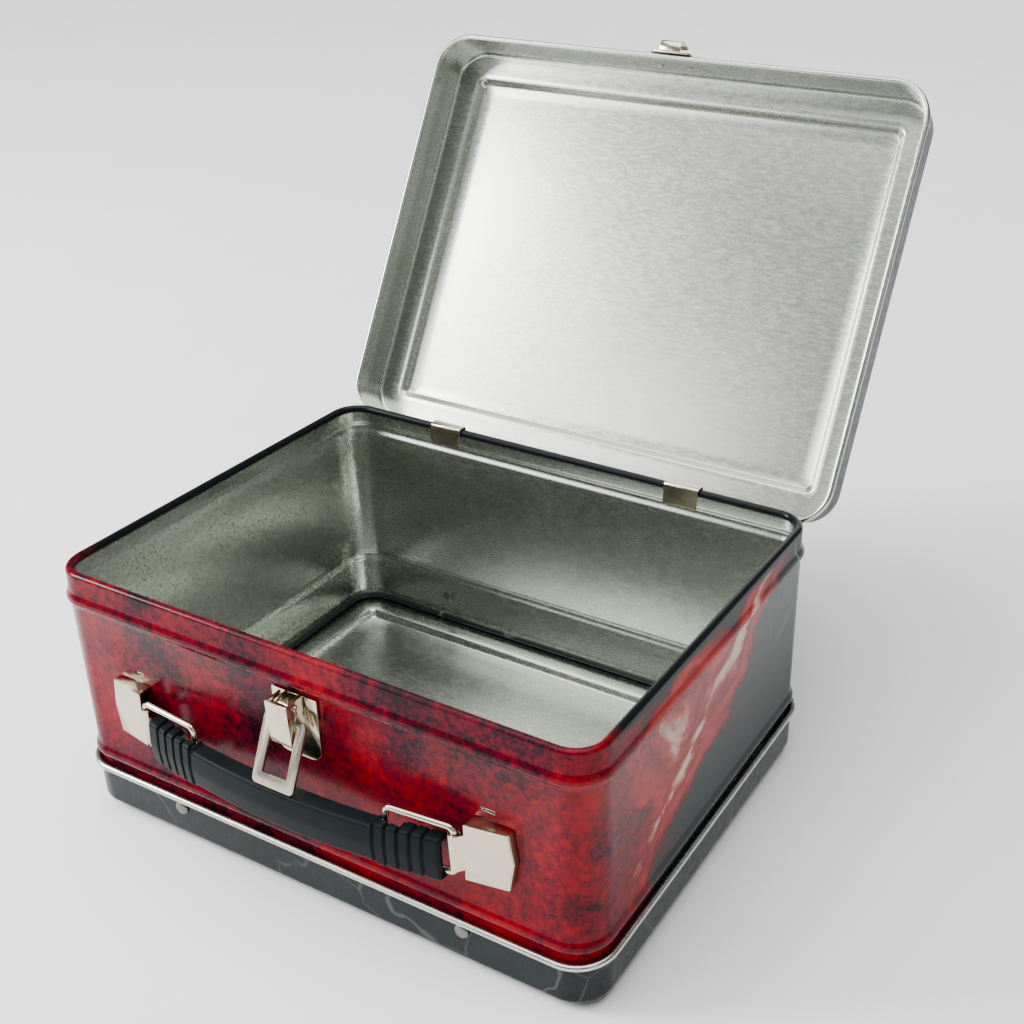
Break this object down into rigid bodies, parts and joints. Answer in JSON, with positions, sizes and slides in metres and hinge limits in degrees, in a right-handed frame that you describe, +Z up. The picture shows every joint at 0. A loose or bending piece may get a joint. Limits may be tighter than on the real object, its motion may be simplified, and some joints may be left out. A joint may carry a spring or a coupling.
{
  "type": "metal lunch box",
  "caption": "Steel lunch box with a deep rounded band, pressed bottom tray, hinged lid on two clips, lever latch with wire-frame bail, and a fold-out front handle on wire loops.",
  "frame": {"origin": "centre of the raised flat panel under the bottom tray, on the surface that the box stands on", "axes": "+X along the front wall, -Y towards the handle and latch, +Z up; the lid stands open at rest"},
  "size_m": [0.2068, 0.2617, 0.2305],
  "materials": {
    "litho_band": "gloss lithographed deep red with dark mottling; bare tinplate inside",
    "black_litho": "semi-gloss near-black lithographed outside; bare tinplate inside",
    "nickel": "polished warm nickel plate",
    "satin_steel": "satin steel",
    "black_plastic": "semi-matte moulded black"
  },
  "bodies": {
    "box": {"body_band": "litho_band", "bottom_tray": "black_litho", "tray_rivet_front_left": "nickel", "tray_rivet_front_right": "nickel", "tray_rivet_back_left": "nickel", "tray_rivet_back_right": "nickel", "hinge_clip_left": "nickel", "hinge_clip_right": "nickel", "latch_backplate": "nickel", "lever_pin": "nickel", "handle_bracket_left": "nickel", "handle_bracket_right": "nickel"},
    "lid": {"lid": "black_litho", "catch_plate": "nickel", "catch_rivet_left": "nickel", "catch_rivet_right": "nickel"},
    "lever": {"latch_lever": "nickel"},
    "bail": {"latch_bail": "satin_steel"},
    "grip": {"handle_grip": "black_plastic"},
    "loop_left": {"handle_loop_left": "nickel"},
    "loop_right": {"handle_loop_right": "nickel"}
  },
  "joints": [
    {"name": "lid_hinge", "type": "hinge", "parent": "box", "child": "lid", "pos_m": [0, 0.0788, 0.0882], "axis": [1, 0, 0], "range_deg": [0, 120]},
    {"name": "lever_hinge", "type": "hinge", "parent": "box", "child": "lever", "pos_m": [0, -0.0815, 0.0792], "axis": [-1, 0, 0], "range_deg": [0, 90]},
    {"name": "bail_hinge", "type": "hinge", "parent": "lever", "child": "bail", "pos_m": [0, -0.082, 0.0732], "axis": [-1, 0, 0], "range_deg": [0, 60]},
    {"name": "handle_slide", "type": "slide", "parent": "box", "child": "grip", "axis": [0, -1, 0], "range_m": [0, 0.011]},
    {"name": "loop_left_hinge", "type": "hinge", "parent": "box", "child": "loop_left", "pos_m": [-0.059, -0.0823, 0.0509], "axis": [0, 0, -1], "range_deg": [0, 35]},
    {"name": "loop_right_hinge", "type": "hinge", "parent": "box", "child": "loop_right", "pos_m": [0.059, -0.0823, 0.0509], "axis": [0, 0, 1], "range_deg": [0, 35]}
  ],
  "couplings": [
    {"joint": "loop_left_hinge", "follows": "handle_slide", "rad_per_m": 47.936},
    {"joint": "loop_right_hinge", "follows": "handle_slide", "rad_per_m": 47.936}
  ]
}
